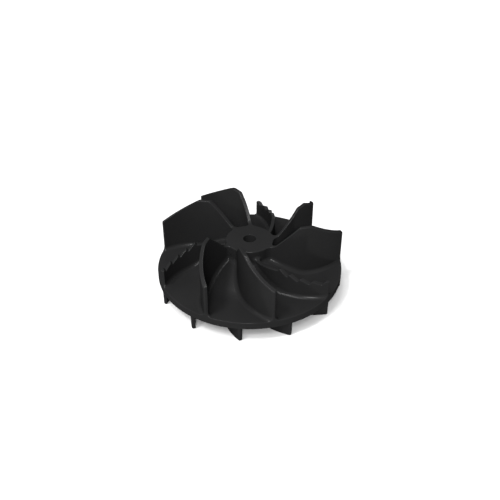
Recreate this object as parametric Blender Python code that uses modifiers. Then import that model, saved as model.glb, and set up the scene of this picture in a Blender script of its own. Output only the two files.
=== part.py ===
"""Blower motor wheel: a moulded centrifugal wheel with backward-curved blades on both sides.

Units are metres and +Z is up, along the spin axis, towards the air inlet. The origin is on the
axis, in the plane of the lower vanes' bottom edges, which is what the wheel stands on when it is
off its shaft. Seen from above the wheel turns clockwise, so the blades trail anticlockwise.

Every blade and vane is one and the same arc wall. A turned envelope trims it: the envelope's
section is the blade's side view, and its floor follows the plate, one seam gap away.
"""

import math

import bmesh
import bpy
from mathutils import Matrix, Vector

# Whole wheel
WHEEL_RADIUS = 0.0570
SEAM = 0.0003                     # gap left between neighbouring solids
ROUND_STEPS = 72                  # facets round the plate, the hub and the envelopes
EDGE_STEPS = 4                    # facets along a rounded edge

# Heights above the vanes' bottom edges
PLATE_TOP = 0.0134
HUB_TOP = PLATE_TOP + 0.0185
BLADE_TOP = PLATE_TOP + 0.0333

# Back plate: flat disc with a cone in the middle
PLATE_THICKNESS = 0.0032
RIM_HEIGHT = 0.0045                # the rim hangs a little below the disc
RIM_WIDTH = 0.0050
RIM_ROUND = 0.0005
CONE_FOOT_RADIUS = 0.0352
CONE_RISE = 0.0100
CONE_WALL = 0.0032                # measured straight down

# Hub: a flat-topped barrel with the bore tube inside
HUB_RADIUS = 0.0145
HUB_WALL = 0.0024
HUB_FLOOR = 0.0030
HUB_EDGE_ROUND = 0.0008
BORE_RADIUS = 0.00397
BORE_CHAMFER = 0.0003
TUBE_RADIUS = 0.0074
TUBE_END = 0.0108

# Collet: the slotted end of the bore tube, with a flat for a D-shaft
COLLET_RADIUS = 0.0066
COLLET_END = 0.0015
COLLET_SHOULDER = 0.0085
COLLET_CHAMFER = 0.0005
SLOT_WIDTH = 0.0016
FLAT_DISTANCE = 0.0032            # from the axis to the flat
FLAT_HALF_WIDTH = 0.0026
COLLET_STEPS = 48

# Spring ring round the collet
RING_WALL = 0.0010
RING_TOP = 0.0076
RING_HEIGHT = 0.0040
RING_GAP = 0.0030
RING_EDGE_BEVEL = 0.0002

# Blades and vanes
BLADE_THICKNESS = 0.0023
BLADE_ARC_RADIUS = 0.0387
BLADE_TIP_RADIUS = 0.0566
BLADE_TIP_ANGLE = math.radians(47.5)   # blade against the radius, at the tip
BLADE_ROOT_RADIUS = 0.0110             # where the untrimmed wall starts, inside the hub
BLADE_STEPS = 18
BLADE_COUNT = 9
STEPPED_EVERY = 3                      # each third upper blade is a low stepped one
VANE_COUNT = 12
VANE_LEAD = math.radians(0.4)           # the vanes sit this far anticlockwise of the blades
FIRST_TIP = math.radians(90.0)         # a stepped blade's tip lies on +Y

# Side view of a tall blade: (radius, height above the plate)
TALL_ROOT = (0.0174, HUB_TOP - PLATE_TOP)    # flush with the hub's top
TALL_SHOULDER = (0.0313, 0.0331)
TALL_CREST = (0.0377, BLADE_TOP - PLATE_TOP)
TALL_TIP_HEIGHT = 0.0207

# Side view of a stepped blade: a gentle rise, then ratchet teeth that fall away outwards
STEPPED_ROOT_HEIGHT = 0.0121
STEPPED_BEND = (0.0200, 0.0130)
TEETH = 5
FIRST_PEAK = (0.0335, 0.0167)
LAST_PEAK = (0.0551, 0.0113)
PEAK_SAG = 0.0012                      # the row of peaks hangs below a straight line
TOOTH_RISE_RUN = 0.0013                # radial run of a tooth's steep side
TOOTH_DEPTH = 0.0017

# Lower vanes
VANE_INNER_TOP = 0.0240
VANE_INNER_BOTTOM = 0.0262

SHARP_ANGLE = math.radians(35.0)       # edges that turn by more stay sharp in the smooth shading


def clear_scene():
    for obj in list(bpy.data.objects):
        bpy.data.objects.remove(obj, do_unlink=True)


def new_collection(name):
    collection = bpy.data.collections.new(name)
    bpy.context.scene.collection.children.link(collection)
    return collection


def principled(name, colour, roughness, metallic=0.0):
    material = bpy.data.materials.new(name)
    material.use_nodes = True
    shader = material.node_tree.nodes["Principled BSDF"]
    shader.inputs["Base Color"].default_value = (*colour, 1.0)
    shader.inputs["Roughness"].default_value = roughness
    shader.inputs["Metallic"].default_value = metallic
    return material


def add_object(name, mesh, collection, material=None):
    obj = bpy.data.objects.new(name, mesh)
    collection.objects.link(obj)
    if material:
        mesh.materials.append(material)
    else:
        obj.hide_render = True
        obj.display_type = "WIRE"
    return obj


def wire_mesh(name, points, closed):
    """A mesh of edges only, through (radius, height) points in the XZ plane."""
    count = len(points)
    edges = [(i, (i + 1) % count) for i in range(count if closed else count - 1)]
    mesh = bpy.data.meshes.new(name)
    mesh.from_pydata([(radius, 0.0, height) for radius, height in points], edges, [])
    return mesh


def add_screw(obj, steps, angle=math.tau):
    screw = obj.modifiers.new("turn", "SCREW")
    screw.angle = angle
    screw.steps = steps
    screw.render_steps = steps
    screw.use_merge_vertices = True
    screw.merge_threshold = 0.00001


def turned(name, profile, collection, material=None, steps=ROUND_STEPS):
    """A ring-shaped solid; the profile loop runs down its outer side and up its inner side."""
    obj = add_object(name, wire_mesh(name, profile, closed=True), collection, material)
    add_screw(obj, steps)
    return obj


def box_cutter(name, size, centre, collection, turn=0.0):
    mesh = bpy.data.meshes.new(name)
    bm = bmesh.new()
    bmesh.ops.create_cube(bm, size=1.0, matrix=Matrix.Diagonal((*size, 1.0)))
    bm.to_mesh(mesh)
    bm.free()
    obj = add_object(name, mesh, collection)
    obj.matrix_world = Matrix.Translation(centre) @ Matrix.Rotation(turn, 4, "Z")
    return obj


def add_boolean(obj, cutter, operation):
    boolean = obj.modifiers.new(cutter.name, "BOOLEAN")
    boolean.operation = operation
    boolean.solver = "EXACT"
    boolean.object = cutter


def rounded_corner(corner, radius, start):
    """Points on a quarter circle that rounds a profile's corner, turning clockwise from start."""
    centre = corner + Vector((-math.cos(start - math.pi / 4), -math.sin(start - math.pi / 4))) \
        * radius * math.sqrt(2.0)
    points = []
    for step in range(EDGE_STEPS + 1):
        angle = start - step / EDGE_STEPS * math.pi / 2
        points.append((centre.x + radius * math.cos(angle), centre.y + radius * math.sin(angle)))
    return points


def cone_height(radius):
    """Height of the plate's upper side above its flat part."""
    slope = CONE_RISE / (CONE_FOOT_RADIUS - HUB_RADIUS)
    return max(0.0, (CONE_FOOT_RADIUS - radius) * slope)


def build_back_plate(parts, plastic):
    mouth = HUB_RADIUS + SEAM
    mouth_height = PLATE_TOP + cone_height(mouth)
    rim_end = PLATE_TOP - RIM_HEIGHT
    profile = [(mouth, mouth_height), (CONE_FOOT_RADIUS, PLATE_TOP)]
    profile += rounded_corner(Vector((WHEEL_RADIUS, PLATE_TOP)), RIM_ROUND, math.pi / 2)
    profile += rounded_corner(Vector((WHEEL_RADIUS, rim_end)), RIM_ROUND, 0.0)
    profile += [
        (WHEEL_RADIUS - RIM_WIDTH, rim_end),
        (WHEEL_RADIUS - RIM_WIDTH, PLATE_TOP - PLATE_THICKNESS),
        (CONE_FOOT_RADIUS, PLATE_TOP - PLATE_THICKNESS),
        (mouth, mouth_height - CONE_WALL),
    ]
    return turned("back_plate", profile, parts, plastic)


def build_hub(parts, plastic):
    barrel_end = PLATE_TOP + cone_height(HUB_RADIUS) - CONE_WALL
    profile = rounded_corner(Vector((HUB_RADIUS, HUB_TOP)), HUB_EDGE_ROUND, math.pi / 2)
    profile += [
        (HUB_RADIUS, barrel_end),
        (HUB_RADIUS - HUB_WALL, barrel_end),
        (HUB_RADIUS - HUB_WALL, HUB_TOP - HUB_FLOOR),
        (TUBE_RADIUS, HUB_TOP - HUB_FLOOR),
        (TUBE_RADIUS, TUBE_END),
        (BORE_RADIUS, TUBE_END),
        (BORE_RADIUS, HUB_TOP - BORE_CHAMFER),
        (BORE_RADIUS + BORE_CHAMFER, HUB_TOP),
    ]
    return turned("hub_boss", profile, parts, plastic)


def build_collet(parts, cutters, plastic):
    top = TUBE_END - SEAM
    collet = turned("shaft_collet", [
        (TUBE_RADIUS, top),
        (TUBE_RADIUS, COLLET_SHOULDER),
        (COLLET_RADIUS, COLLET_SHOULDER),
        (COLLET_RADIUS, COLLET_END + COLLET_CHAMFER),
        (COLLET_RADIUS - COLLET_CHAMFER, COLLET_END),
        (BORE_RADIUS, COLLET_END),
        (BORE_RADIUS, top),
    ], parts, plastic, COLLET_STEPS)
    flat_depth = COLLET_RADIUS - FLAT_DISTANCE - COLLET_CHAMFER
    flat = box_cutter(
        "bore_flat", (2 * FLAT_HALF_WIDTH, flat_depth, top - COLLET_END - 2 * SEAM),
        (0.0, FLAT_DISTANCE + flat_depth / 2, (top + COLLET_END) / 2), cutters)
    add_boolean(collet, flat, "UNION")
    slot_top = COLLET_SHOULDER - SEAM
    for number, turn in enumerate((math.pi / 4, 3 * math.pi / 4), start=1):
        slot = box_cutter(
            f"collet_slot_{number}", (4 * COLLET_RADIUS, SLOT_WIDTH, 2 * (slot_top - COLLET_END)),
            (0.0, 0.0, COLLET_END), cutters, turn)
        add_boolean(collet, slot, "DIFFERENCE")
    return collet


def build_spring_ring(parts, cutters, steel):
    inner = COLLET_RADIUS + SEAM
    outer = inner + RING_WALL
    bottom = RING_TOP - RING_HEIGHT
    bevel = RING_EDGE_BEVEL
    ring = turned("collet_spring_ring", [
        (outer - bevel, RING_TOP),
        (outer, RING_TOP - bevel),
        (outer, bottom + bevel),
        (outer - bevel, bottom),
        (inner + bevel, bottom),
        (inner, bottom + bevel),
        (inner, RING_TOP - bevel),
        (inner + bevel, RING_TOP),
    ], parts, steel, COLLET_STEPS)
    gap = box_cutter("ring_gap", (2 * outer, RING_GAP, 2 * RING_HEIGHT),
                     (outer, 0.0, bottom + RING_HEIGHT / 2), cutters)
    add_boolean(ring, gap, "DIFFERENCE")
    return ring


def tall_envelope(cutters):
    """Turned space that a tall blade fills."""
    inner = HUB_RADIUS + SEAM
    floor = PLATE_TOP + SEAM
    return turned("tall_envelope", [
        (TALL_SHOULDER[0], PLATE_TOP + TALL_SHOULDER[1]),
        (TALL_CREST[0], PLATE_TOP + TALL_CREST[1]),
        (WHEEL_RADIUS, PLATE_TOP + TALL_TIP_HEIGHT),
        (WHEEL_RADIUS, floor),
        (CONE_FOOT_RADIUS, floor),
        (inner, floor + cone_height(inner)),
        (inner, PLATE_TOP + TALL_ROOT[1]),
        (TALL_ROOT[0], PLATE_TOP + TALL_ROOT[1]),
    ], cutters)


def tooth_points():
    """Valley and peak of each tooth of a stepped blade, from the inside out."""
    points = []
    for tooth in range(TEETH):
        along = tooth / (TEETH - 1)
        radius = FIRST_PEAK[0] + along * (LAST_PEAK[0] - FIRST_PEAK[0])
        peak = FIRST_PEAK[1] + along * (LAST_PEAK[1] - FIRST_PEAK[1])
        peak -= PEAK_SAG * 4 * along * (1 - along)
        points.append((radius - TOOTH_RISE_RUN, PLATE_TOP + peak - TOOTH_DEPTH))
        points.append((radius, PLATE_TOP + peak))
    return points


def stepped_envelope(cutters):
    """Turned space that a stepped blade fills."""
    inner = HUB_RADIUS + SEAM
    floor = PLATE_TOP + SEAM
    teeth = tooth_points()
    profile = [
        (inner, PLATE_TOP + STEPPED_ROOT_HEIGHT),
        (STEPPED_BEND[0], PLATE_TOP + STEPPED_BEND[1]),
    ]
    profile += teeth
    profile += [
        (WHEEL_RADIUS, teeth[-1][1]),
        (WHEEL_RADIUS, floor),
        (CONE_FOOT_RADIUS, floor),
        (inner, floor + cone_height(inner)),
    ]
    return turned("stepped_envelope", profile, cutters)


def vane_envelope(cutters):
    """Turned space that a lower vane fills."""
    ceiling = PLATE_TOP - PLATE_THICKNESS - SEAM
    rim_ceiling = PLATE_TOP - RIM_HEIGHT - SEAM
    rim_inside = WHEEL_RADIUS - RIM_WIDTH - SEAM
    return turned("vane_envelope", [
        (VANE_INNER_TOP, ceiling + cone_height(VANE_INNER_TOP)),
        (CONE_FOOT_RADIUS, ceiling),
        (rim_inside, ceiling),
        (rim_inside, rim_ceiling),
        (WHEEL_RADIUS, rim_ceiling),
        (WHEEL_RADIUS, 0.0),
        (VANE_INNER_BOTTOM, 0.0),
    ], cutters)


def arc_wall(name, tip_angle, low, high, parts, plastic):
    """An upright wall along the blade's arc, from inside the hub out to the tip."""
    centre = Matrix.Rotation(tip_angle, 2) @ Vector((
        BLADE_TIP_RADIUS - BLADE_ARC_RADIUS * math.sin(BLADE_TIP_ANGLE),
        BLADE_ARC_RADIUS * math.cos(BLADE_TIP_ANGLE)))
    distance = centre.length

    def angle_at_centre(radius):
        """Angle at the arc's centre between the wheel's axis and the arc at this radius."""
        cosine = (distance ** 2 + BLADE_ARC_RADIUS ** 2 - radius ** 2) \
            / (2 * distance * BLADE_ARC_RADIUS)
        return math.acos(cosine)

    sweep = angle_at_centre(BLADE_TIP_RADIUS) - angle_at_centre(BLADE_ROOT_RADIUS)
    edge = wire_mesh(name, [(BLADE_ARC_RADIUS, high), (BLADE_ARC_RADIUS, low)], closed=False)
    wall = add_object(name, edge, parts, plastic)
    wall.location = (centre.x, centre.y, 0.0)
    wall.rotation_euler.z = tip_angle + BLADE_TIP_ANGLE - math.pi / 2 - sweep
    add_screw(wall, BLADE_STEPS, sweep)
    solidify = wall.modifiers.new("thickness", "SOLIDIFY")
    solidify.thickness = BLADE_THICKNESS
    solidify.offset = 0.0
    solidify.use_even_offset = True
    return wall


def build_upper_blades(parts, cutters, plastic):
    tall, stepped = tall_envelope(cutters), stepped_envelope(cutters)
    low, high = PLATE_TOP - CONE_WALL, BLADE_TOP + CONE_WALL
    counts = {"blade": 0, "stepped_blade": 0}
    for index in range(BLADE_COUNT):
        kind = "blade" if index % STEPPED_EVERY else "stepped_blade"
        counts[kind] += 1
        angle = FIRST_TIP - index * math.tau / BLADE_COUNT
        wall = arc_wall(f"{kind}_{counts[kind]}", angle, low, high, parts, plastic)
        add_boolean(wall, tall if kind == "blade" else stepped, "INTERSECT")


def build_back_vanes(parts, cutters, plastic):
    envelope = vane_envelope(cutters)
    low, high = -CONE_WALL, PLATE_TOP + CONE_RISE
    for index in range(VANE_COUNT):
        angle = FIRST_TIP + VANE_LEAD - index * math.tau / VANE_COUNT
        wall = arc_wall(f"back_vane_{index + 1}", angle, low, high, parts, plastic)
        add_boolean(wall, envelope, "INTERSECT")


def shade_round_faces(parts):
    """Apply each piece's modifiers, then shade its round faces smooth between sharp edges."""
    depsgraph = bpy.context.evaluated_depsgraph_get()
    finished = {
        obj: bpy.data.meshes.new_from_object(obj.evaluated_get(depsgraph)) for obj in parts.objects
    }
    for obj, mesh in finished.items():
        mesh.shade_smooth()
        mesh.set_sharp_from_angle(angle=SHARP_ANGLE)
        obj.modifiers.clear()
        obj.data = mesh


def build_wheel():
    clear_scene()
    parts = new_collection("blower_motor_wheel")
    cutters = new_collection("cutters")
    plastic = {
        name: principled(name, (0.022, 0.022, 0.023), 0.42)
        for name in ("plate_plastic", "hub_plastic", "collet_plastic", "blade_plastic", "vane_plastic")
    }
    steel = principled("spring_steel", (0.42, 0.42, 0.43), 0.32, 1.0)
    build_back_plate(parts, plastic["plate_plastic"])
    build_hub(parts, plastic["hub_plastic"])
    build_collet(parts, cutters, plastic["collet_plastic"])
    build_spring_ring(parts, cutters, steel)
    build_upper_blades(parts, cutters, plastic["blade_plastic"])
    build_back_vanes(parts, cutters, plastic["vane_plastic"])
    shade_round_faces(parts)


build_wheel()
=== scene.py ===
"""Looks of the blower motor wheel: one black moulding with filleted blades, and a steel spring ring.

Each blade, vane, collet and ring is meshed from a signed distance field, in metres, negative
inside. The fields are joined with true fillets and cut with rounded edges, as a mould is made.
"""

import math

import bpy
import numpy as np
from mathutils import Matrix, Vector


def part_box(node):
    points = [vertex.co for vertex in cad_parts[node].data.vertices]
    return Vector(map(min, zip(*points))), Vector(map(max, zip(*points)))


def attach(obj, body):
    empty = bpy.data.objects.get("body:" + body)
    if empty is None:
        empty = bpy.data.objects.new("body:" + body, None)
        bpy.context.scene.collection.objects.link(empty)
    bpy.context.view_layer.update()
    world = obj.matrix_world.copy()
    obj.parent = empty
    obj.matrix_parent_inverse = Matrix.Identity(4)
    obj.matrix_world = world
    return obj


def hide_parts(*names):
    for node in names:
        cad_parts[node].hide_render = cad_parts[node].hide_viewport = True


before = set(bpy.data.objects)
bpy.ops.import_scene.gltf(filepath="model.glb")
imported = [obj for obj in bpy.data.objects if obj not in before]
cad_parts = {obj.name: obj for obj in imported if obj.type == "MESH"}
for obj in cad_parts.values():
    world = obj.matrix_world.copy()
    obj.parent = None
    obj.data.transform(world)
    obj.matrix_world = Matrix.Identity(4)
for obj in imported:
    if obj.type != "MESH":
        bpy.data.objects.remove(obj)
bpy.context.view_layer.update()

# Sizes read from the frame
PLATE_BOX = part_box("back_plate")
HUB_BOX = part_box("hub_boss")
BLADE_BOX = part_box("blade_1")
COLLET_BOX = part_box("shaft_collet")
RING_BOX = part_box("collet_spring_ring")
WHEEL_RADIUS = PLATE_BOX[1].x
HUB_RADIUS = HUB_BOX[1].x
HUB_TOP = HUB_BOX[1].z
BLADE_TOP = BLADE_BOX[1].z

# Plate, above the vanes' bottom edges
PLATE_TOP = 0.0134
PLATE_THICKNESS = 0.0032
RIM_HEIGHT = 0.0045
RIM_WIDTH = 0.0050
RIM_ROUND = 0.0002
CONE_FOOT = 0.0352
CONE_RISE = 0.0100
CONE_FOOT_ROUND = 0.0150
SMALL_ROUND = 0.0004

# Hub and bore
HUB_EDGE_ROUND = 0.0006
HUB_FILLET = 0.0028
HUB_SKIRT = 0.0022                 # width of the cone that belongs to the hub's piece
HUB_WALL = 0.0024
HUB_FLOOR = 0.0030
BORE_RADIUS = 0.00397
BORE_CHAMFER = 0.0001
TUBE_RADIUS = 0.0074

# Blades
BLADE_THICKNESS = 0.0023
ARC_RADIUS = 0.0387
TIP_RADIUS = 0.0566
TIP_ANGLE = math.radians(47.5)
FOOT_FILLET = 0.0025
TOP_ROUND = 0.0005
END_ROUND = 0.0004
BLADE_COUNT = 9
STEPPED_EVERY = 3
TALL_ROOT_RADIUS = 0.0174
TALL_ROOT_ROUND = 0.0040
TALL_SHOULDER = (0.0313, 0.0331)   # radius, and height above the plate, as in the corners below
TALL_SHOULDER_ROUND = 0.0012
TALL_CREST = (0.0377, BLADE_TOP - PLATE_TOP)
TALL_CREST_ROUND = 0.0040
TALL_TIP_HEIGHT = 0.0207
STEPPED_ROOT_HEIGHT = 0.0121
STEPPED_BEND = (0.0200, 0.0130)
STEPPED_BEND_ROUND = 0.0020
TEETH = 5
FIRST_PEAK = (0.0335, 0.0167)
LAST_PEAK = (0.0551, 0.0113)
PEAK_SAG = 0.0012
TOOTH_RISE_RUN = 0.0013
TOOTH_DEPTH = 0.0017
TOOTH_ROUND = 0.0002

# Lower vanes
VANE_COUNT = 12
VANE_LEAD = math.radians(0.4)
VANE_FOOT_THICKNESS = 0.0026
VANE_EDGE_THICKNESS = 0.0022
VANE_INNER_TOP = 0.0240
VANE_INNER_BOTTOM = 0.0262
VANE_INNER_ROUND = 0.0006
VANE_FILLET = 0.0008

# Collet and ring
COLLET_RADIUS = 0.0066
COLLET_SHOULDER = 0.0085
SLOT_WIDTH = 0.0016
FLAT_DISTANCE = 0.0032
FLAT_INSET = 0.0003                # from the D-flat's block to the collet's ends, and into its wall
FLAT_EDGE_ROUND = 0.0002
SLOT_EDGE_ROUND = 0.00025
RING_WALL = 0.0010
RING_GAP = 0.0030
RING_EDGE_ROUND = 0.00022

# Meshing
CELL = 0.00025
FINE_CELL = 0.00018
BEYOND = 0.0040                    # how far an outline runs past the rim, or past the blades' tops
PAST_AXIS = -0.0010                # and past the axis
BLADE_GRID_START = 0.0080          # along X, inside the hub
BLADE_GRID_SIDES = (0.0045, 0.0120)  # below the arc's lowest point, and above the X axis
BLADE_GRID_SINK = 0.0010           # below the plate's top
VANE_GRID_REACH = 0.0060           # inward of the vanes' inner ends, and above the plate's top
VANE_GRID_SIDES = (0.0030, 0.0060)
GRID_SPARE = 0.0005                # past the rim
SINK = 0.0003                      # how far a blade's foot reaches into the plate
FEATHER = 0.00014                  # trimmed off the thin outer edge of each fillet
LIFT = 0.000004                    # keeps a blade's flush root just above the hub's own top
TABLE_START = -0.0020
TABLE_SPARE = 0.0060
TABLE_STEP = 0.0001
TURN_STEPS = 288
TURN_LENGTH = 0.0008
SHARP_ANGLE = math.radians(35)

# Edge wear, by the sum of the surface's two curvatures, per metre
WALL_BULGE = 300.0
EDGE_BULGE = 1400.0

# Black moulded plastic
PLASTIC_DARK = (0.0067, 0.0067, 0.0068)
PLASTIC_LIGHT = (0.0077, 0.0077, 0.0078)
PLASTIC_WORN = (0.0086, 0.0086, 0.0088)
PLASTIC_ROUGHNESS = (0.19, 0.23)
PLASTIC_SHINE = 0.0038             # how much light the gloss sends back
WEAR = (0.15, 0.70)                # least and most wear on an edge, as it varies with the flow
FLOW = (45.0, 3.0)                 # scale and detail of a noise
GRAIN = (900.0, 2.0)
FINE_GRAIN = (3200.0, 1.0)
GRAIN_RELIEF = (0.12, 0.00004)     # strength and depth
GRAIN_ROUGHNESS = 0.02
SEED_SHIFT = (0.013, 0.007, 0.011)   # from one piece's noise to the next

# Spring steel
STEEL_DARK = (0.36, 0.355, 0.35)
STEEL_LIGHT = (0.50, 0.50, 0.51)
STEEL_ROUGHNESS = (0.24, 0.42)
STEEL_STRETCH = (60.0, 60.0, 9000.0)
STEEL_LINES = (1.0, 3.0)
STEEL_RELIEF = (0.2, 0.00002)

# Camera
CAMERA_AZIMUTH = math.radians(5.35)
CAMERA_ELEVATION = math.radians(35.237)
LENS = 50.0
SENSOR_WIDTH = 36.0
CLIP = (0.01, 50.0)
CAMERA_DISTANCE = 7.6127 * WHEEL_RADIUS
CAMERA_RIGHT = -0.0035 * WHEEL_RADIUS        # where the view's centre lies from the plate's centre
CAMERA_UP = -0.1417 * WHEEL_RADIUS

# Studio: a floor, an even white surround and square softboxes that face the wheel
FLOOR_HALF = 6.0
FLOOR_DROP = 0.0002
FLOOR_COLOUR = (0.405, 0.405, 0.405)
FLOOR_ROUGHNESS = 0.9
FLOOR_SHINE = 0.1
SURROUND = 0.58
SOFTBOXES = {                      # name: (direction, distance, side, watts)
    "camera_side": ((0.076, -0.813, 0.577), 4.0, 0.80, 164.0),
    "front_high": ((0.05, -0.60, 0.80), 4.0, 1.10, 100.0),
    "front_left": ((-0.40, -0.55, 0.74), 4.0, 0.70, 74.0),
    "key": ((-0.40, -0.32, 0.86), 4.0, 0.60, 128.0),
    "overhead": ((-0.15, -0.15, 0.97), 4.0, 0.90, 94.0),
    "left": ((-0.90, -0.10, 0.40), 4.0, 2.70, 56.0),
}


# ---------------------------------------------------------------- outlines and fields

def rounded_outline(corners, degrees_per_step=9.0):
    """Points of a closed outline from corners given as (radius, height, rounding)."""
    points = []
    count = len(corners)
    for i, (x, y, rounding) in enumerate(corners):
        corner = Vector((x, y))
        if not rounding:
            points.append((x, y))
            continue
        before = (Vector(corners[i - 1][:2]) - corner).normalized()
        after = (Vector(corners[(i + 1) % count][:2]) - corner).normalized()
        half = before.angle(after) / 2
        centre = corner + (before + after).normalized() * rounding / math.sin(half)
        start = corner + before * rounding / math.tan(half) - centre
        end = corner + after * rounding / math.tan(half) - centre
        turn = math.atan2(start.cross(end), start.dot(end))
        steps = max(2, math.ceil(abs(math.degrees(turn)) / degrees_per_step))
        for step in range(steps + 1):
            spoke = Matrix.Rotation(turn * step / steps, 2) @ start
            points.append((centre.x + spoke.x, centre.y + spoke.y))
    return points


def outline_distance(r, z, points):
    """Signed distance from (r, z) to a closed outline."""
    nearest = np.full(np.broadcast(r, z).shape, np.inf)
    inside = np.zeros(nearest.shape, bool)
    for (r0, z0), (r1, z1) in zip(points, points[1:] + points[:1]):
        run, rise = r1 - r0, z1 - z0
        length2 = run * run + rise * rise
        if length2 < 1e-16:
            continue
        along = np.clip(((r - r0) * run + (z - z0) * rise) / length2, 0.0, 1.0)
        nearest = np.minimum(nearest, (r - r0 - along * run) ** 2 + (z - z0 - along * rise) ** 2)
        if rise:
            crosses = (z0 <= z) != (z1 <= z)
            inside ^= crosses & (r < r0 + (z - z0) / rise * run)
    return np.where(inside, -1.0, 1.0) * np.sqrt(nearest)


def turned_field(points):
    """The field of a turned outline, read from a fine table of (radius, height)."""
    side = np.arange(TABLE_START, max(WHEEL_RADIUS, BLADE_TOP) + TABLE_SPARE, TABLE_STEP)
    table = outline_distance(side[:, None], side[None, :], points)

    def field(r, z):
        i = np.clip((r - TABLE_START) / TABLE_STEP, 0, len(side) - 2)
        j = np.clip((z - TABLE_START) / TABLE_STEP, 0, len(side) - 2)
        i0, j0 = i.astype(int), j.astype(int)
        u, v = i - i0, j - j0
        return (table[i0, j0] * (1 - u) * (1 - v) + table[i0 + 1, j0] * u * (1 - v)
                + table[i0, j0 + 1] * (1 - u) * v + table[i0 + 1, j0 + 1] * u * v)
    return field


def join(a, b, fillet):
    """Union with a hollow fillet of that radius."""
    return np.maximum(np.minimum(a, b), fillet) - np.hypot(
        np.maximum(fillet - a, 0.0), np.maximum(fillet - b, 0.0))


def cut(a, b, rounding):
    """Intersection with a rounded edge of that radius."""
    return np.minimum(np.maximum(a, b), -rounding) + np.hypot(
        np.maximum(rounding + a, 0.0), np.maximum(rounding + b, 0.0))


# ---------------------------------------------------------------- meshing

def slopes(field, points):
    """Unit gradient of a field at the points."""
    reach = 0.00002
    sides = []
    for axis in range(3):
        step = np.zeros(3)
        step[axis] = reach
        ahead, behind = points + step, points - step
        sides.append(field(*ahead.T) - field(*behind.T))
    gradient = np.stack(sides, 1) / (2 * reach)
    return gradient / np.maximum(np.linalg.norm(gradient, axis=1, keepdims=True), 1e-9)


def net(field, low, high, cell):
    """Vertices and quads of the field's zero surface: one vertex for each grid cell it crosses."""
    axes = [np.arange(low[i] - 1.5 * cell, high[i] + 2.5 * cell, cell) for i in range(3)]
    values = field(axes[0][:, None, None], axes[1][None, :, None], axes[2][None, None, :])
    inside = values < 0
    corners = [(i, j, k) for i in (0, 1) for j in (0, 1) for k in (0, 1)]
    cells = tuple(n - 1 for n in inside.shape)
    full = sum(inside[i:i + cells[0], j:j + cells[1], k:k + cells[2]].astype(np.int8)
               for i, j, k in corners)
    active = np.argwhere((full > 0) & (full < 8))
    number = np.full(cells, -1, np.int32)
    number[tuple(active.T)] = np.arange(len(active))
    total = np.zeros((len(active), 3))
    crossings = np.zeros(len(active))
    for first in corners:
        for axis in range(3):
            if first[axis]:
                continue
            second = list(first)
            second[axis] = 1
            a = values[tuple((active + first).T)]
            b = values[tuple((active + second).T)]
            crossed = (a < 0) != (b < 0)
            share = np.where(crossed, a / np.where(crossed, a - b, 1.0), 0.0)
            place = np.tile(np.array(first, float), (len(active), 1))
            place[:, axis] += share
            total += place * crossed[:, None]
            crossings += crossed
    origin = np.array([a[0] for a in axes])
    vertices = origin + (active + total / crossings[:, None]) * cell
    quads = []
    for axis in range(3):
        u, v = (axis + 1) % 3, (axis + 2) % 3
        start = [slice(None)] * 3
        start[axis] = slice(0, -1)
        end = [slice(None)] * 3
        end[axis] = slice(1, None)
        first = inside[tuple(start)]
        edges = np.argwhere(first != inside[tuple(end)])
        edges = edges[(edges[:, u] > 0) & (edges[:, v] > 0)
                      & (edges[:, u] < cells[u]) & (edges[:, v] < cells[v])]
        around = []
        for du, dv in ((1, 1), (0, 1), (0, 0), (1, 0)):
            at = edges.copy()
            at[:, u] -= du
            at[:, v] -= dv
            around.append(number[tuple(at.T)])
        ring = np.stack(around, 1)
        outward = first[tuple(edges.T)]
        quads.append(np.where(outward[:, None], ring, ring[:, ::-1]))
    return vertices, np.concatenate(quads)


def on_surface(field, vertices, cell, rounds=4):
    """Vertices moved onto the field's zero surface."""
    for _ in range(rounds):
        away = np.clip(field(*vertices.T), -cell / 2, cell / 2)
        vertices = vertices - away[:, None] * slopes(field, vertices)
    return vertices


def bulge(field, points):
    """How sharply the surface bulges at the points: 0 on a wall or in a fillet, 1 on an edge."""
    reach = 0.0002
    total = -6.0 * field(*points.T)
    for axis in range(3):
        step = np.zeros(3)
        step[axis] = reach
        total += field(*(points + step).T) + field(*(points - step).T)
    return np.clip((total / reach ** 2 - WALL_BULGE) / (EDGE_BULGE - WALL_BULGE), 0.0, 1.0)


def mesh_of(name, vertices, faces, skin, exact_normals=True):
    """A smooth mesh that keeps the bulge of its skin, a field, as the attribute the wear reads."""
    mesh = bpy.data.meshes.new(name)
    mesh.from_pydata(vertices.tolist(), [], faces.tolist())
    mesh.shade_smooth()
    edge = mesh.attributes.new("edge", "FLOAT", "POINT")
    edge.data.foreach_set("value", bulge(skin, vertices))
    if exact_normals:
        mesh.normals_split_custom_set_from_vertices(slopes(skin, vertices).tolist())
    return mesh


def shown(name, mesh, material, slot, body, *nodes, turn=0.0):
    """A piece that stands for CAD nodes and rides on their body."""
    obj = bpy.data.objects.new(name, mesh)
    bpy.context.scene.collection.objects.link(obj)
    if turn:
        mesh.transform(Matrix.Rotation(turn, 4, "Z"))
    mesh.materials.append(material)
    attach(obj, body)
    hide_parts(*nodes)
    return obj


def divided(points):
    """The closed outline with its long sides divided, so that the wear fades within TURN_LENGTH."""
    fine = []
    for (r0, z0), (r1, z1) in zip(points, points[1:] + points[:1]):
        parts = max(1, math.ceil(math.hypot(r1 - r0, z1 - z0) / TURN_LENGTH))
        for part in range(parts):
            fine.append((r0 + (r1 - r0) * part / parts, z0 + (z1 - z0) * part / parts))
    return fine


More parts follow.
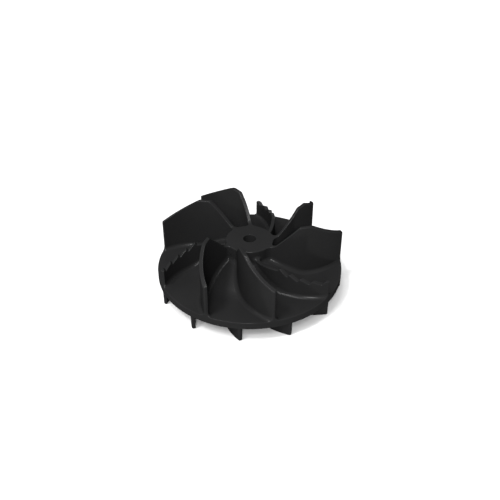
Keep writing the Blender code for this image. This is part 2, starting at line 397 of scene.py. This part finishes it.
def turned_mesh(name, points):
    """A closed ring-shaped mesh from an outline that runs down its outer side."""
    outline = np.array(divided(points))
    angles = np.arange(TURN_STEPS) * math.tau / TURN_STEPS
    x = outline[None, :, 0] * np.cos(angles)[:, None]
    y = outline[None, :, 0] * np.sin(angles)[:, None]
    z = np.broadcast_to(outline[:, 1], x.shape)
    vertices = np.stack([x, y, z], 2).reshape(-1, 3)
    count = len(outline)
    step, point = np.meshgrid(np.arange(TURN_STEPS), np.arange(count), indexing="ij")
    following, ahead = (step + 1) % TURN_STEPS, (point + 1) % count
    faces = np.stack([step * count + point, step * count + ahead,
                      following * count + ahead, following * count + point], 2).reshape(-1, 4)
    section = turned_field(points)

    def skin(x, y, z):
        return section(np.hypot(x, y), z)

    mesh = mesh_of(name, vertices, faces, skin, exact_normals=False)
    mesh.set_sharp_from_angle(angle=SHARP_ANGLE)
    return mesh


# ---------------------------------------------------------------- the wheel's sections

def cone_height(radius):
    """Height of the cone above the plate."""
    return max(0.0, (CONE_FOOT - radius) * CONE_RISE / (CONE_FOOT - HUB_RADIUS))


def plate_outline():
    """Plate and cone, without the hub; a separate outline, as the hub has its own piece."""
    inner = HUB_RADIUS + HUB_SKIRT
    rim_end = PLATE_TOP - RIM_HEIGHT
    top = PLATE_TOP + cone_height(inner)
    return rounded_outline([
        (inner, top, 0.0),
        (CONE_FOOT, PLATE_TOP, CONE_FOOT_ROUND),
        (WHEEL_RADIUS, PLATE_TOP, RIM_ROUND),
        (WHEEL_RADIUS, rim_end, RIM_ROUND),
        (WHEEL_RADIUS - RIM_WIDTH, rim_end, SMALL_ROUND),
        (WHEEL_RADIUS - RIM_WIDTH, PLATE_TOP - PLATE_THICKNESS, SMALL_ROUND),
        (CONE_FOOT, PLATE_TOP - PLATE_THICKNESS, CONE_FOOT_ROUND),
        (inner, top - PLATE_THICKNESS, 0.0),
    ])


def hub_outline():
    """Hub barrel and bore tube, with the fillet that meets the cone."""
    inner = HUB_RADIUS + HUB_SKIRT
    cone_top = PLATE_TOP + cone_height(inner)
    foot = PLATE_TOP + cone_height(HUB_RADIUS)
    barrel_end = foot - PLATE_THICKNESS
    tube_end = COLLET_BOX[1].z
    return rounded_outline([
        (HUB_RADIUS, HUB_TOP, HUB_EDGE_ROUND),
        (HUB_RADIUS, foot, HUB_FILLET),
        (inner, cone_top, 0.0),
        (inner, cone_top - PLATE_THICKNESS, 0.0),
        (HUB_RADIUS - SMALL_ROUND, barrel_end, 0.0),
        (HUB_RADIUS - HUB_WALL, barrel_end, SMALL_ROUND),
        (HUB_RADIUS - HUB_WALL, HUB_TOP - HUB_FLOOR, SMALL_ROUND),
        (TUBE_RADIUS, HUB_TOP - HUB_FLOOR, SMALL_ROUND),
        (TUBE_RADIUS, tube_end, 0.0),
        (BORE_RADIUS, tube_end, 0.0),
        (BORE_RADIUS, HUB_TOP - BORE_CHAMFER, 0.0),
        (BORE_RADIUS + BORE_CHAMFER, HUB_TOP, 0.0),
    ])


def upper_base(hub_top, edge_round):
    """What the blades stand on: plate, cone and hub, or the hub as a column without a top."""
    return turned_field(rounded_outline([
        (HUB_RADIUS, hub_top, edge_round),
        (HUB_RADIUS, PLATE_TOP + cone_height(HUB_RADIUS), HUB_FILLET),
        (CONE_FOOT, PLATE_TOP, CONE_FOOT_ROUND),
        (WHEEL_RADIUS + BEYOND, PLATE_TOP, 0.0),
        (WHEEL_RADIUS + BEYOND, 0.0, 0.0),
        (PAST_AXIS, 0.0, 0.0),
        (PAST_AXIS, hub_top, 0.0),
    ]))


def lower_base():
    """The plate's underside, which the vanes hang from."""
    rim_end = PLATE_TOP - RIM_HEIGHT
    return turned_field(rounded_outline([
        (PAST_AXIS, BLADE_TOP, 0.0),
        (WHEEL_RADIUS + BEYOND, BLADE_TOP, 0.0),
        (WHEEL_RADIUS + BEYOND, rim_end, 0.0),
        (WHEEL_RADIUS - RIM_WIDTH, rim_end, SMALL_ROUND),
        (WHEEL_RADIUS - RIM_WIDTH, PLATE_TOP - PLATE_THICKNESS, SMALL_ROUND),
        (CONE_FOOT, PLATE_TOP - PLATE_THICKNESS, CONE_FOOT_ROUND),
        (HUB_RADIUS, PLATE_TOP + CONE_RISE - PLATE_THICKNESS, 0.0),
        (PAST_AXIS, PLATE_TOP + CONE_RISE - PLATE_THICKNESS, 0.0),
    ]))


def tall_section():
    """Side view of a tall blade, as a turned field."""
    slope = (TALL_CREST[1] - TALL_TIP_HEIGHT) / (WHEEL_RADIUS - TALL_CREST[0])
    return turned_field(rounded_outline([
        (PAST_AXIS, HUB_TOP, 0.0),
        (TALL_ROOT_RADIUS, HUB_TOP, TALL_ROOT_ROUND),
        (TALL_SHOULDER[0], PLATE_TOP + TALL_SHOULDER[1], TALL_SHOULDER_ROUND),
        (TALL_CREST[0], PLATE_TOP + TALL_CREST[1], TALL_CREST_ROUND),
        (WHEEL_RADIUS + BEYOND, PLATE_TOP + TALL_TIP_HEIGHT - slope * BEYOND, 0.0),
        (WHEEL_RADIUS + BEYOND, 0.0, 0.0),
        (PAST_AXIS, 0.0, 0.0),
    ]))


def stepped_section():
    """Side view of a stepped blade, as a turned field."""
    corners = [
        (PAST_AXIS, PLATE_TOP + STEPPED_ROOT_HEIGHT, 0.0),
        (STEPPED_BEND[0], PLATE_TOP + STEPPED_BEND[1], STEPPED_BEND_ROUND),
    ]
    for tooth in range(TEETH):
        along = tooth / (TEETH - 1)
        radius = FIRST_PEAK[0] + along * (LAST_PEAK[0] - FIRST_PEAK[0])
        peak = FIRST_PEAK[1] + along * (LAST_PEAK[1] - FIRST_PEAK[1])
        peak -= PEAK_SAG * 4 * along * (1 - along)
        corners.append((radius - TOOTH_RISE_RUN, PLATE_TOP + peak - TOOTH_DEPTH, TOOTH_ROUND))
        corners.append((radius, PLATE_TOP + peak, TOOTH_ROUND))
    corners += [
        (WHEEL_RADIUS + BEYOND, corners[-1][1], 0.0),
        (WHEEL_RADIUS + BEYOND, 0.0, 0.0),
        (PAST_AXIS, 0.0, 0.0),
    ]
    return turned_field(rounded_outline(corners))


def vane_section():
    """Side view of a lower vane, as a turned field."""
    ceiling = PLATE_TOP + CONE_RISE
    lean = (VANE_INNER_BOTTOM - VANE_INNER_TOP) / (PLATE_TOP - PLATE_THICKNESS)
    return turned_field(rounded_outline([
        (VANE_INNER_BOTTOM - lean * ceiling, ceiling, 0.0),
        (WHEEL_RADIUS + BEYOND, ceiling, 0.0),
        (WHEEL_RADIUS + BEYOND, 0.0, 0.0),
        (VANE_INNER_BOTTOM, 0.0, VANE_INNER_ROUND),
    ]))


# ---------------------------------------------------------------- blades and vanes

ARC_CENTRE = (TIP_RADIUS - ARC_RADIUS * math.sin(TIP_ANGLE), ARC_RADIUS * math.cos(TIP_ANGLE))
ARC_LOW = ARC_CENTRE[1] - ARC_RADIUS


def arc_wall(x, y, thickness):
    """Field of an upright arc wall whose tip lies on +X, cut square at its tip."""
    side = np.abs(np.hypot(x - ARC_CENTRE[0], y - ARC_CENTRE[1]) - ARC_RADIUS) - thickness / 2
    end = (x - TIP_RADIUS) * math.cos(TIP_ANGLE) + y * math.sin(TIP_ANGLE)
    return cut(side, end, END_ROUND)


def upper_blade(name, section, top, column, base):
    """Mesh of a blade whose tip lies on +X.

    A tall one is cut flush with the hub's top; a stepped one ends lower, filleted to the hub.
    """
    flush = top == BLADE_TOP

    def skin(x, y, z):
        r = np.hypot(x, y)
        wall, foot = arc_wall(x, y, BLADE_THICKNESS), column(r, z)
        if flush:
            body = cut(join(wall, foot, FOOT_FILLET), section(r, z) - LIFT, TOP_ROUND)
        else:
            body = join(cut(wall, section(r, z), TOP_ROUND), foot, FOOT_FILLET)
        return cut(body, r - WHEEL_RADIUS, END_ROUND)

    def solid(x, y, z):
        r = np.hypot(x, y)
        sunk = np.maximum(-base(r, z) - SINK, HUB_RADIUS - 2 * TOP_ROUND - r)
        near = arc_wall(x, y, BLADE_THICKNESS) - FOOT_FILLET + FEATHER
        return np.maximum(skin(x, y, z), np.maximum(sunk, near))

    low = (BLADE_GRID_START, ARC_LOW - BLADE_GRID_SIDES[0], PLATE_TOP - BLADE_GRID_SINK)
    high = (WHEEL_RADIUS + GRID_SPARE, BLADE_GRID_SIDES[1], top)
    vertices, quads = net(solid, low, high, CELL)
    vertices = on_surface(solid, vertices, CELL)
    return mesh_of(name, vertices, quads, skin)


def lower_vane(name):
    """Mesh of a vane whose tip lies on +X."""
    base, section = lower_base(), vane_section()

    def skin(x, y, z):
        r = np.hypot(x, y)
        share = np.clip(z / (PLATE_TOP - PLATE_THICKNESS), 0.0, 1.0)
        thickness = VANE_EDGE_THICKNESS + share * (VANE_FOOT_THICKNESS - VANE_EDGE_THICKNESS)
        wall = cut(arc_wall(x, y, thickness), section(r, z), END_ROUND)
        return cut(join(wall, base(r, z), VANE_FILLET), r - WHEEL_RADIUS, END_ROUND)

    def solid(x, y, z):
        r = np.hypot(x, y)
        wall = np.maximum(arc_wall(x, y, VANE_FOOT_THICKNESS), section(r, z))
        near = wall - VANE_FILLET + FEATHER
        return np.maximum(skin(x, y, z), np.maximum(-base(r, z) - SINK, near))

    low = (VANE_INNER_TOP - VANE_GRID_REACH, ARC_LOW - VANE_GRID_SIDES[0], 0.0)
    high = (WHEEL_RADIUS + GRID_SPARE, VANE_GRID_SIDES[1], PLATE_TOP + VANE_GRID_REACH)
    vertices, quads = net(solid, low, high, CELL)
    vertices = on_surface(solid, vertices, CELL)
    return mesh_of(name, vertices, quads, skin)


def add_blades(plastic):
    """Six tall and three stepped blades, copies of two meshes, clockwise from +Y."""
    column, base = upper_base(BLADE_TOP + BEYOND, 0.0), upper_base(HUB_TOP, HUB_EDGE_ROUND)
    tall = upper_blade("tall", tall_section(), BLADE_TOP, column, base)
    stepped = upper_blade("stepped", stepped_section(), PLATE_TOP + FIRST_PEAK[1], column, base)
    counts = {"blade": 0, "stepped_blade": 0}
    for index in range(BLADE_COUNT):
        kind = "blade" if index % STEPPED_EVERY else "stepped_blade"
        counts[kind] += 1
        part = f"{kind}_{counts[kind]}"
        mesh = (tall if kind == "blade" else stepped).copy()
        turn = math.pi / 2 - index * math.tau / BLADE_COUNT
        shown(f"{part}_moulded", mesh, plastic, "blade_plastic", "wheel", part, turn=turn)


def add_vanes(plastic):
    """Twelve lower vanes, copies of one mesh, clockwise from +Y."""
    vane = lower_vane("vane")
    for index in range(VANE_COUNT):
        part = f"back_vane_{index + 1}"
        turn = math.pi / 2 + VANE_LEAD - index * math.tau / VANE_COUNT
        shown(f"{part}_moulded", vane.copy(), plastic, "vane_plastic", "wheel", part, turn=turn)


# ---------------------------------------------------------------- collet and ring

def slot_field(x, y, half_width):
    """Two crossed slots at 45 degrees, as a field that is negative inside a slot."""
    root = math.sqrt(0.5)
    return np.minimum(np.abs(x + y), np.abs(x - y)) * root - half_width


def add_collet(plastic):
    """The slotted lower end of the bore tube, with its D-flat."""
    low, high = COLLET_BOX
    section = turned_field(rounded_outline([
        (TUBE_RADIUS, high.z, 0.0),
        (TUBE_RADIUS, COLLET_SHOULDER, SMALL_ROUND),
        (COLLET_RADIUS, COLLET_SHOULDER, SMALL_ROUND),
        (COLLET_RADIUS, low.z, SMALL_ROUND),
        (BORE_RADIUS, low.z, FLAT_EDGE_ROUND),
        (BORE_RADIUS, high.z, 0.0),
    ]))

    def solid(x, y, z):
        r = np.hypot(x, y)
        body = section(r, z)
        height = np.maximum(low.z + FLAT_INSET - z, z - high.z + FLAT_INSET)
        inside = np.maximum(r - BORE_RADIUS - FLAT_INSET, height)
        body = np.minimum(body, cut(inside, FLAT_DISTANCE - y, FLAT_EDGE_ROUND))
        slot = np.maximum(slot_field(x, y, SLOT_WIDTH / 2), z - COLLET_SHOULDER + FLAT_INSET)
        return cut(body, -slot, SLOT_EDGE_ROUND)

    vertices, quads = net(solid, low, high, FINE_CELL)
    vertices = on_surface(solid, vertices, FINE_CELL)
    mesh = mesh_of("collet", vertices, quads, solid)
    shown("shaft_collet_moulded", mesh, plastic, "collet_plastic", "wheel", "shaft_collet")


def add_ring(steel):
    """The spring ring, split on its +X side."""
    low, high = RING_BOX
    outer, edge = high.y, RING_EDGE_ROUND
    section = turned_field(rounded_outline([
        (outer, high.z, edge), (outer, low.z, edge),
        (outer - RING_WALL, low.z, edge), (outer - RING_WALL, high.z, edge),
    ]))

    def solid(x, y, z):
        gap = np.maximum(np.abs(y) - RING_GAP / 2, -x)
        return cut(section(np.hypot(x, y), z), -gap, edge)

    vertices, quads = net(solid, low, high, FINE_CELL)
    vertices = on_surface(solid, vertices, FINE_CELL)
    mesh = mesh_of("ring", vertices, quads, solid)
    shown("collet_spring_ring_steel", mesh, steel, "spring_steel", "spring_ring", "collet_spring_ring")


# ---------------------------------------------------------------- materials

def node(tree, kind, **settings):
    """A new node with its settings."""
    made = tree.nodes.new(kind)
    for name, value in settings.items():
        setattr(made, name, value)
    return made


def new_material(name):
    """A material, its node tree and its Principled shader."""
    material = bpy.data.materials.new(name)
    material.use_nodes = True
    return material, material.node_tree, material.node_tree.nodes["Principled BSDF"]


def noise(tree, place, scale, detail):
    """The value of a noise texture at the place."""
    made = node(tree, "ShaderNodeTexNoise")
    made.inputs["Scale"].default_value = scale
    made.inputs["Detail"].default_value = detail
    tree.links.new(place, made.inputs["Vector"])
    return made.outputs["Fac"]


def spread(tree, source, low, high, start=0.3, end=0.7):
    """The value moved from the range start to end onto the range low to high."""
    made = node(tree, "ShaderNodeMapRange")
    for socket, value in zip(("From Min", "From Max", "To Min", "To Max"), (start, end, low, high)):
        made.inputs[socket].default_value = value
    tree.links.new(source, made.inputs["Value"])
    return made.outputs["Result"]


def reckoned(tree, operation, a, b):
    """The sum or product of two values."""
    made = node(tree, "ShaderNodeMath", operation=operation)
    tree.links.new(a, made.inputs[0])
    tree.links.new(b, made.inputs[1])
    return made.outputs[0]


def bumped(tree, height, strength, depth):
    """The normal of a surface with that relief, at most the depth deep."""
    made = node(tree, "ShaderNodeBump")
    made.inputs["Strength"].default_value = strength
    made.inputs["Distance"].default_value = depth
    tree.links.new(height, made.inputs["Height"])
    return made.outputs["Normal"]


def plastic_colour(tree, flow):
    """Near black, paler in places where the melt flowed, and a little more so on rubbed edges."""
    colour = node(tree, "ShaderNodeMix", data_type="RGBA")
    colour.inputs["A"].default_value = (*PLASTIC_DARK, 1.0)
    colour.inputs["B"].default_value = (*PLASTIC_LIGHT, 1.0)
    tree.links.new(spread(tree, flow, 0.0, 1.0), colour.inputs["Factor"])
    edge = node(tree, "ShaderNodeAttribute", attribute_name="edge").outputs["Fac"]
    wear = reckoned(tree, "MULTIPLY", edge, spread(tree, flow, *WEAR))
    worn = node(tree, "ShaderNodeMix", data_type="RGBA")
    worn.inputs["B"].default_value = (*PLASTIC_WORN, 1.0)
    tree.links.new(wear, worn.inputs["Factor"])
    tree.links.new(colour.outputs["Result"], worn.inputs["A"])
    return worn.outputs["Result"]


def plastic_material(name, seed):
    """Black glass-filled nylon with a fine grain, faint flow mottling and rubbed edges.

    The Principled shader is matt and gives the colour. A gloss of constant strength is added to
    it, because grained nylon stays dark where it is seen at a grazing angle.
    """
    material, tree, shader = new_material(name)
    shift = node(tree, "ShaderNodeVectorMath", operation="ADD")
    shift.inputs[1].default_value = [seed * step for step in SEED_SHIFT]
    tree.links.new(node(tree, "ShaderNodeTexCoord").outputs["Object"], shift.inputs[0])
    place = shift.outputs[0]
    flow = noise(tree, place, *FLOW)
    grain = noise(tree, place, *GRAIN)
    fine = noise(tree, place, *FINE_GRAIN)
    roughness = reckoned(tree, "ADD", spread(tree, flow, *PLASTIC_ROUGHNESS),
                         spread(tree, grain, -GRAIN_ROUGHNESS, GRAIN_ROUGHNESS))
    normal = bumped(tree, reckoned(tree, "ADD", grain, fine), *GRAIN_RELIEF)
    tree.links.new(plastic_colour(tree, flow), shader.inputs["Base Color"])
    tree.links.new(roughness, shader.inputs["Roughness"])
    tree.links.new(normal, shader.inputs["Normal"])
    shader.inputs["Specular IOR Level"].default_value = 0.0
    gloss = node(tree, "ShaderNodeBsdfAnisotropic")
    gloss.inputs["Color"].default_value = (PLASTIC_SHINE, PLASTIC_SHINE, PLASTIC_SHINE, 1.0)
    tree.links.new(roughness, gloss.inputs["Roughness"])
    tree.links.new(normal, gloss.inputs["Normal"])
    both = node(tree, "ShaderNodeAddShader")
    tree.links.new(shader.outputs[0], both.inputs[0])
    tree.links.new(gloss.outputs[0], both.inputs[1])
    tree.links.new(both.outputs[0], tree.nodes["Material Output"].inputs["Surface"])
    return material


def steel_material(name):
    """Drawn spring steel with fine lines round the ring."""
    material, tree, shader = new_material(name)
    stretch = node(tree, "ShaderNodeMapping")
    stretch.inputs["Scale"].default_value = STEEL_STRETCH
    tree.links.new(node(tree, "ShaderNodeTexCoord").outputs["Object"], stretch.inputs["Vector"])
    lines = noise(tree, stretch.outputs["Vector"], *STEEL_LINES)
    tint = node(tree, "ShaderNodeMix", data_type="RGBA")
    tint.inputs["A"].default_value = (*STEEL_DARK, 1.0)
    tint.inputs["B"].default_value = (*STEEL_LIGHT, 1.0)
    tree.links.new(lines, tint.inputs["Factor"])
    tree.links.new(tint.outputs["Result"], shader.inputs["Base Color"])
    roughness = spread(tree, lines, *STEEL_ROUGHNESS, start=0.0, end=1.0)
    tree.links.new(roughness, shader.inputs["Roughness"])
    tree.links.new(bumped(tree, lines, *STEEL_RELIEF), shader.inputs["Normal"])
    shader.inputs["Metallic"].default_value = 1.0
    return material


# ---------------------------------------------------------------- stage

def add_camera():
    """A camera that looks down on the wheel from the front."""
    a, e = CAMERA_AZIMUTH, CAMERA_ELEVATION
    towards = Vector((math.sin(a) * math.cos(e), -math.cos(a) * math.cos(e), math.sin(e)))
    right = Vector((math.cos(a), math.sin(a), 0.0))
    up = towards.cross(right)
    lens = bpy.data.cameras.new("camera")
    lens.lens = LENS
    lens.sensor_width = SENSOR_WIDTH
    lens.clip_start, lens.clip_end = CLIP
    camera = bpy.data.objects.new("camera", lens)
    bpy.context.scene.collection.objects.link(camera)
    aim = Vector((0.0, 0.0, PLATE_TOP)) - right * CAMERA_RIGHT - up * CAMERA_UP
    placed = Matrix((right, up, towards)).transposed().to_4x4()
    placed.translation = aim + towards * CAMERA_DISTANCE
    camera.matrix_world = placed
    bpy.context.scene.camera = camera


def add_floor():
    """A plain grey floor just under the vanes' edges, which the lights turn white."""
    mesh = bpy.data.meshes.new("floor")
    corners = [(-FLOOR_HALF, -FLOOR_HALF, 0), (FLOOR_HALF, -FLOOR_HALF, 0),
               (FLOOR_HALF, FLOOR_HALF, 0), (-FLOOR_HALF, FLOOR_HALF, 0)]
    mesh.from_pydata(corners, [], [(0, 1, 2, 3)])
    floor = bpy.data.objects.new("floor", mesh)
    bpy.context.scene.collection.objects.link(floor)
    floor.location.z = -FLOOR_DROP
    material, _, shader = new_material("floor")
    shader.inputs["Base Color"].default_value = (*FLOOR_COLOUR, 1.0)
    shader.inputs["Roughness"].default_value = FLOOR_ROUGHNESS
    shader.inputs["Specular IOR Level"].default_value = FLOOR_SHINE
    mesh.materials.append(material)


def add_softbox(name, direction, distance, side, power):
    """A square area light that faces the wheel from that direction."""
    data = bpy.data.lights.new(name, "AREA")
    data.shape = "SQUARE"
    data.size = side
    data.energy = power
    light = bpy.data.objects.new(name, data)
    bpy.context.scene.collection.objects.link(light)
    away = Vector(direction).normalized()
    light.location = Vector((0.0, 0.0, PLATE_TOP)) + away * distance
    light.rotation_euler = away.to_track_quat("Z", "Y").to_euler()


def add_surround():
    """The same white light from every side."""
    world = bpy.data.worlds.new("studio")
    world.use_nodes = True
    background = world.node_tree.nodes["Background"]
    background.inputs["Color"].default_value = (1.0, 1.0, 1.0, 1.0)
    background.inputs["Strength"].default_value = SURROUND
    bpy.context.scene.world = world


def add_studio():
    """Floor, surround and softboxes."""
    add_floor()
    add_surround()
    for name, (direction, distance, side, power) in SOFTBOXES.items():
        add_softbox(name, direction, distance, side, power)
    bpy.context.scene.view_settings.view_transform = "Standard"


def build():
    """Every piece, its material, and the stage."""
    plastic = {part: plastic_material(f"{part}_plastic", seed)
               for seed, part in enumerate(("plate", "hub", "collet", "blade", "vane"), start=1)}
    shown("back_plate_moulded", turned_mesh("back_plate_moulded", plate_outline()),
          plastic["plate"], "plate_plastic", "wheel", "back_plate")
    shown("hub_boss_moulded", turned_mesh("hub_boss_moulded", hub_outline()),
          plastic["hub"], "hub_plastic", "wheel", "hub_boss")
    add_blades(plastic["blade"])
    add_vanes(plastic["vane"])
    add_collet(plastic["collet"])
    add_ring(steel_material("spring_steel"))
    add_camera()
    add_studio()


build()
